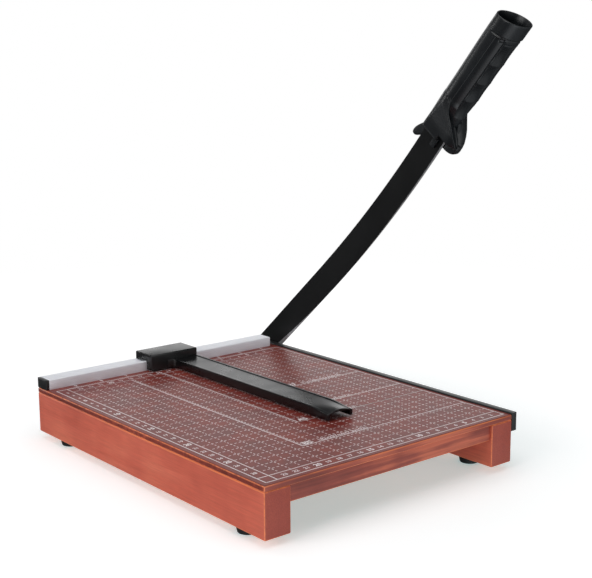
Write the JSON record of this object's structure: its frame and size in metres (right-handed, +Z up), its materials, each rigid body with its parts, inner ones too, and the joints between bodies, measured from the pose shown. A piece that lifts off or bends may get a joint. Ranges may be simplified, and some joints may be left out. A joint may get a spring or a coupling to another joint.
{
  "type": "guillotine paper cutter",
  "caption": "Wood-based guillotine paper cutter with printed bed, aluminium fence, sliding paper stop and swinging sabre blade with hollow grip.",
  "frame": {"origin": "on the table, under the middle of the whole cutter's box in the stored pose", "axes": "+X to the cutting side, +Y from the user to the fence, +Z up"},
  "size_m": [0.2712, 0.3389, 0.3601],
  "materials": {
    "board": "stained fibreboard, satin",
    "printed_laminate": "printed laminate sheet, satin",
    "stained_wood": "red-brown stained and lacquered",
    "beech": "raw beech",
    "rubber": "matte",
    "zinc_steel": "zinc plated",
    "black_screw": "black oxide",
    "black_steel": "satin black coating, ground edge",
    "anodised_aluminium": "satin anodised",
    "black_plastic": "moulded, fine texture",
    "spring_steel": "bright",
    "grip_plastic": "moulded ABS, semi-gloss",
    "nylon": "natural",
    "nut_nylon": "nylon ring"
  },
  "bodies": {
    "base": {"top_board": "board", "printed_sheet": "printed_laminate", "left_rail": "stained_wood", "right_rail": "stained_wood", "front_cross_rail": "stained_wood", "rear_cross_rail": "stained_wood", "frame_dowels": "beech", "board_screws": "zinc_steel", "rubber_feet": "rubber", "foot_screws": "zinc_steel", "fixed_blade": "black_steel", "bar_screws": "black_screw", "fence": "anodised_aluminium", "fence_end_cap": "black_plastic", "fence_screws": "zinc_steel"},
    "stop": {"paper_stop": "black_plastic", "stop_spring": "spring_steel"},
    "arm": {"swing_blade": "black_steel", "grip": "grip_plastic", "tang_screws": "black_screw", "tang_wedge": "nylon", "pivot_bolt": "zinc_steel", "head_washer": "zinc_steel", "inner_washer": "zinc_steel", "pivot_spring": "spring_steel", "nut_washer": "zinc_steel", "lock_nut": "zinc_steel", "nut_insert": "nut_nylon"}
  },
  "joints": [
    {"name": "arm_swing", "type": "hinge", "parent": "base", "child": "arm", "pos_m": [0.11983, 0.15609, 0.039], "axis": [-1, 0, 0], "range_deg": [-41, 43.8]},
    {"name": "stop_slide", "type": "slide", "parent": "base", "child": "stop", "axis": [1, 0, 0], "range_m": [-0.0975, 0.092]}
  ]
}
